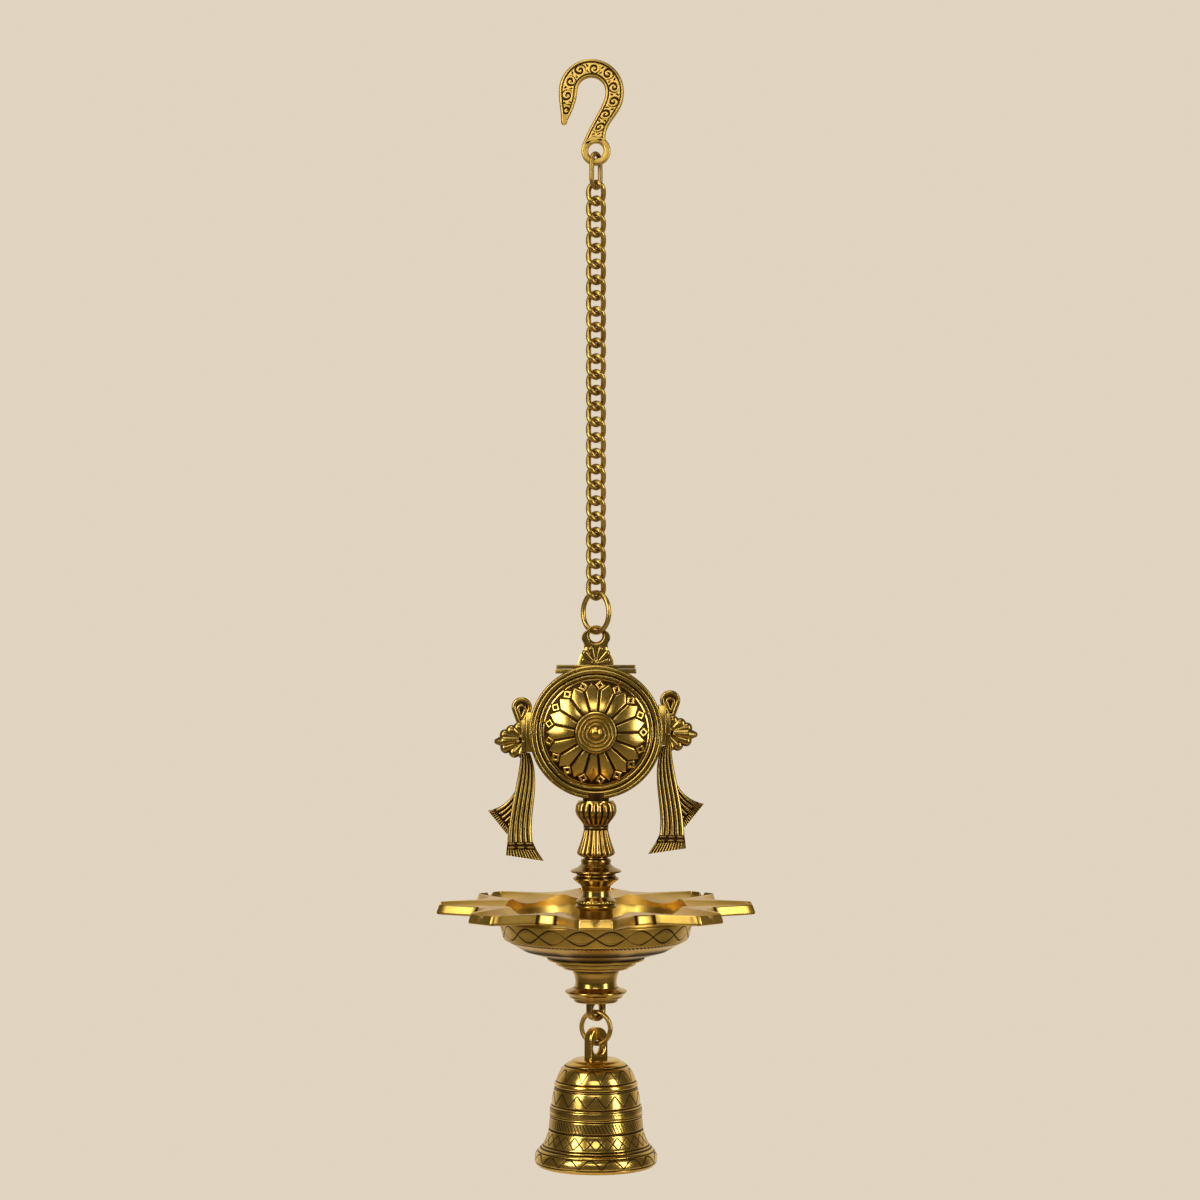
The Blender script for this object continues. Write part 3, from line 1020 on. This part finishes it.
section = np.concatenate([outside, top, np.broadcast_to(inside[:, None], (len(inside), len(t), 2))])
far, height = section[..., 0], section[..., 1]
dip = np.sqrt(np.maximum(WICK_R ** 2 - (far * np.sin(lean)) ** 2, 0)) * (far > SPOUT_R - 6)
grid = about_line(far, t, np.minimum(height, pan_top - dip))
# Dark lines in turned grooves under the bowl and at the corners of the spouts, and a darker underside
down, wide = pan_top - outside[..., 1], outside[..., 0]
grooves = sum(np.exp(-((down - z) / 0.35) ** 2) for z in (8.4, 18.6, 24.0, 27.8, 29.6, 32.2))
seams = sum(np.exp(-((lean - a) * 70 / 0.5) ** 2) for a in (notch, corner_angle))
marks = grooves * (wide < BOWL_R + 0.5) + seams * (wide > BOWL_R + 5) + 0.45 * (down > 19.4)
lines = np.pad(marks, [(0, len(top) + len(inside)), (0, 0)])
measured = recess_of(grid, LOOP, 3) * np.where(far > BOWL_R + 1, 0.15, 1)
outer_rows = (np.arange(len(grid)) < len(outside))[:, None]
pan_surface = surface(grid, LOOP, recess=measured + 0.25 * lines, cut=outer_rows)
piece("spouted_pan", ["pan"], [pan_surface], pan_brass)
print("pan grid:", grid.shape)

# %% [markdown]
# ## The bell
# The bell is a lathe. Its outer line is sampled finely enough to carry turned grooves: at each groove's
# height the radius is drawn in by a narrow bell curve. The engraved rows between them come from the
# finish.

# %% Lines of the bell
outer = spaced(rounded(
    below(bell_top, (0, 0), (11, 0.2), (12.6, 0.8), (13, 1.5), (15.3, 2.4), (17.9, 5), (20, 8.8),
          (20.9, 11.8), (21.6, 12), (21.8, 13.6), (21.5, 14), (22.4, 17.5), (23.2, 24), (23.9, 24.3),
          (24.2, 29), (24, 29.5), (24.5, 35))
    + below(bell_mouth, (25.2, -16), (26.6, -12.4), (28.3, -9.8), (29, -9.2), (30.6, -7.4), (31.7, -5.6),
            (32, -3), (31.4, -0.9), (30.4, 0)), 1.0), 0.2)
inner = spaced(rounded(
    below(bell_mouth, (28.6, 0), (27.3, -5), (24.2, -10.4), (22.4, -16.5))
    + below(bell_top, (21, 27), (19.2, 14.5), (17, 9.4), (11.6, 5), (9, 4), (0, 4)), 0.8), 1.5)
print("bell rows:", len(outer), "outside and", len(inner), "inside")

# %% Bell and its eye
# Turned grooves: distance below the top and depth
cut_rings = ((3.4, 0.3), (11.4, 0.35), (14.4, 0.35), (15.3, 0.25), (23.6, 0.35), (24.9, 0.25), (28.6, 0.25),
             (29.8, 0.35), (35.8, 0.3), (36.4, 0.25), (44.4, 0.4), (45.7, 0.4), (47.4, 0.25), (53.0, 0.3))
groove = sum(depth * np.exp(-((outer[:, 1] - (bell_top - down)) / 0.32) ** 2) for down, depth in cut_rings)
groove = groove * (outer[:, 0] > 5)
outer[:, 0] -= groove
shadow = np.concatenate([0.8 * groove, 0.1 + 0 * inner[:, 0]])[:, None]
outer_rows = (np.arange(len(shadow)) < len(outer))[:, None]
bell_cup = surface(turned(np.concatenate([outer, inner]), 148), recess=shadow, cut=outer_rows)
bell_eye = eye_plate(bell_eye_z, BELL_HOLE_R, 0.9, 5.0, lambda t: np.maximum(
    circle_reach(t, 0, 3.9, 6.5), box_reach(t, 6.5, 6.3, 3.9)), LUG_TURN, 1.0)
piece("cup_bell", ["bell"], [bell_cup, surface(bell_eye, LOOP, recess=0.0, cut=0.0)], bell_brass)
print("bell grid:", bell_cup["grid"].shape)

# %% [markdown]
# ## Pieces that stay as they are
# The stud, the clapper and its staple are plain turned or bent brass and hardly seen, so the solids
# themselves are shown. The washer under the pan is oiled leather: brown, with a fine grain from a noise
# texture and no metal in it.

# %% Finishes of the inner pieces
leather, tree = new_material("oiled_leather")
pores = noise(tree, 900.0, 4.0)
hide = mixed(tree, pores, (0.05, 0.025, 0.012, 1), (0.12, 0.06, 0.03, 1))
grain = add(tree, "ShaderNodeBump", {"Strength": 0.2, "Distance": 0.0003, "Height": pores})
skin = tree.nodes["Principled BSDF"].inputs
skin["Roughness"].default_value = 0.55
tree.links.new(hide, skin["Base Color"])
tree.links.new(grain.outputs["Normal"], skin["Normal"])
plain = dict.fromkeys(("stem_stud", "clapper_staple", "clapper"), chain_brass)
plain["oil_washer"] = leather
for name, finish in plain.items():
    mesh = frame["nodes"][name].data
    mesh.materials.clear()
    mesh.materials.append(finish)
print("solids shown as they are:", len(plain))

# %% [markdown]
# ## Camera
# The camera stands level in front of the lamp, about a metre and a half away, with a narrow angle of view.

# %% Camera
HALF_VIEW = math.radians(11.52)
scene = bpy.context.scene
camera = bpy.data.cameras.new("camera")
camera.sensor_fit, camera.sensor_width = "HORIZONTAL", 36.0
camera.lens = camera.sensor_width / 2 / math.tan(HALF_VIEW)
camera.clip_start, camera.clip_end = 0.05, 50
view = bpy.data.objects.new("camera", camera)
view.location, view.rotation_euler = (0.0045, -1.53, -0.264), (math.pi / 2, 0, 0)
scene.collection.objects.link(view)
scene.camera = view
print("camera lens: %.1f mm" % camera.lens)

# %% [markdown]
# ## Studio
# Polished metal shows its surroundings, so the surroundings make the picture. Two tall soft boxes, left
# and right in front, draw the long bright bands on bell, stem and pan. What lies behind the camera is
# dark, which leaves the middle of each round form brown, as in the photograph. A third box above the
# camera lights the flat hook. The world is plain and pale. A wide dark cloth hangs round the front of the
# lamp, as is usual in a studio for metal: only reflections meet it. It is paler low down, like a floor,
# and it thins out towards the back, so the metal's edges show the pale world.

# %% Lights
def soft_box(name, place, aim, size, power, colour):
    """Rectangular area light at a place, turned to a target and unseen by the camera."""
    lamp = bpy.data.lights.new(name, "AREA")
    lamp.shape, lamp.size, lamp.size_y = "RECTANGLE", *size
    lamp.energy, lamp.color = power, colour
    box = bpy.data.objects.new(name, lamp)
    box.location = place
    box.rotation_euler = (box.location - type(box.location)(aim)).to_track_quat("Z", "Y").to_euler()
    box.visible_camera = False
    scene.collection.objects.link(box)


soft_box("key_left", (-1.25, -1.15, 0.35), (0, 0, -0.3), (0.6, 1.5), 22, (1.0, 0.95, 0.86))
soft_box("fill_right", (1.35, -0.95, 0.0), (0, 0, -0.3), (0.4, 1.3), 13, (1.0, 0.96, 0.90))
soft_box("front_high", (-0.1, -1.75, 0.42), (0, 0, 0), (0.9, 0.45), 4.5, (1.0, 0.96, 0.90))
soft_box("top", (-0.2, -0.3, 1.2), (0, 0, -0.3), (0.9, 0.9), 8, (1.0, 0.97, 0.92))

# %% World and dark cloth
def backdrop(name, grid, material):
    """Studio surface from a grid that wraps along its columns."""
    mesh = bpy.data.meshes.new(name)
    faces = cell_corners(*grid.shape[:2], (False, True), 0)
    mesh.from_pydata(grid.reshape(-1, 3).tolist(), [], faces.tolist())
    mesh.materials.append(material)
    obj = bpy.data.objects.new(name, mesh)
    scene.collection.objects.link(obj)
    return obj


def thinned(tree, share, shader):
    """Lets a shader turn clear by a share and makes it the material's surface."""
    clear = add(tree, "ShaderNodeBsdfTransparent")
    veil = add(tree, "ShaderNodeMixShader", {0: share, 1: shader.outputs[0], 2: clear.outputs[0]})
    tree.links.new(veil.outputs[0], tree.nodes["Material Output"].inputs["Surface"])


PALE = (0.75, 0.66, 0.53, 1)
world = bpy.data.worlds.new("studio")
scene.world = world
world.use_nodes = True
world.node_tree.nodes["Background"].inputs["Color"].default_value = PALE

SHADE_R = 3.0
dim, tree = new_material("dark_cloth")
way = object_axes(tree)
behind = stepped(tree, way["Y"], 0.25 * SHADE_R, 0.85 * SHADE_R)
low = stepped(tree, way["Z"], -0.3 * SHADE_R, -0.6 * SHADE_R)
cloth_tone = mixed(tree, low, (0.100, 0.083, 0.056, 1), (0.26, 0.22, 0.15, 1))
thinned(tree, behind, add(tree, "ShaderNodeEmission", {"Color": cloth_tone}))
t, r = full_turn(64), np.linspace(0, np.pi, 33)[:, None]
ball = SHADE_R * np.stack([np.sin(r) * np.cos(t), np.cos(r) + 0 * t, np.sin(r) * np.sin(t)], 2)
shade = backdrop("dark_cloth", ball, dim)
shade.visible_camera = shade.visible_shadow = False
print("dark cloth faces:", len(shade.data.polygons))

# %% Floor
FLOOR_Z, FLOOR_R, FLOOR_FULL_R = -0.72, 0.42, 0.15
pale, tree = new_material("pale_floor")
paint = tree.nodes["Principled BSDF"]
paint.inputs["Base Color"].default_value = PALE
paint.inputs["Roughness"].default_value = 0.9
spread = add(tree, "ShaderNodeVectorMath", {0: object_place(tree)}, operation="LENGTH").outputs["Value"]
thinned(tree, stepped(tree, spread, math.hypot(FLOOR_Z, FLOOR_FULL_R), math.hypot(FLOOR_Z, FLOOR_R)), paint)
t, r = full_turn(96), np.linspace(0, FLOOR_R, 24)[:, None]
floor = backdrop("floor", np.stack([r * np.cos(t), r * np.sin(t), FLOOR_Z + 0 * r * t], 2), pale)
scene.view_settings.view_transform = "Standard"
print("floor faces:", len(floor.data.polygons))
